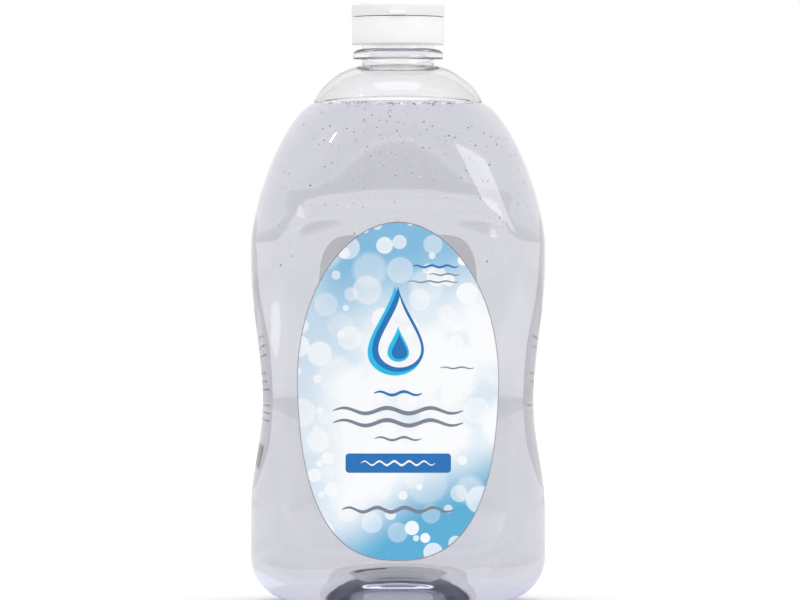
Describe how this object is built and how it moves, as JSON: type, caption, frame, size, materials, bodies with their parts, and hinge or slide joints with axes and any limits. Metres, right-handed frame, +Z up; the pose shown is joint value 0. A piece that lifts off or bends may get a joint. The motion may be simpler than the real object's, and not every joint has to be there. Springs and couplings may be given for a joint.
{
  "type": "hand soap refill pack",
  "caption": "Clear waisted refill bottle of hand soap with oval front label, pushed-up base and a translucent flip-top screw cap.",
  "frame": {"origin": "middle of the bottle's foot, on the surface it stands on", "axes": "+Z up through the neck, +X to the right seen from the front label, -Y towards the front label, +Y towards the lid's hinge"},
  "size_m": [0.1204, 0.0892, 0.245],
  "materials": {
    "clear_pet": "gloss",
    "soap": "gloss",
    "front_film": "satin",
    "back_film": "satin",
    "foam": "matte",
    "natural_plastic": "satin"
  },
  "bodies": {
    "bottle": {"bottle": "clear_pet", "liquid_soap": "soap", "front_label": "front_film", "back_label": "back_film"},
    "gasket": {"cap_gasket": "foam"},
    "cap": {"cap_base": "natural_plastic"},
    "lid": {"cap_lid": "natural_plastic"}
  },
  "joints": [
    {"name": "cap_lift", "type": "slide", "parent": "bottle", "child": "gasket", "axis": [0, 0, 1], "range_m": [0, 0.00526]},
    {"name": "cap_turn", "type": "hinge", "parent": "gasket", "child": "cap", "pos_m": [0, 0, 0.2325], "axis": [0, 0, 1], "range_deg": [0, 450]},
    {"name": "lid_flip", "type": "hinge", "parent": "cap", "child": "lid", "pos_m": [0, 0.0199, 0.23935], "axis": [-1, 0, 0], "range_deg": [0, 150]}
  ],
  "couplings": [
    {"joint": "cap_lift", "follows": "cap_turn", "m_per_rad": 0.00066845}
  ]
}
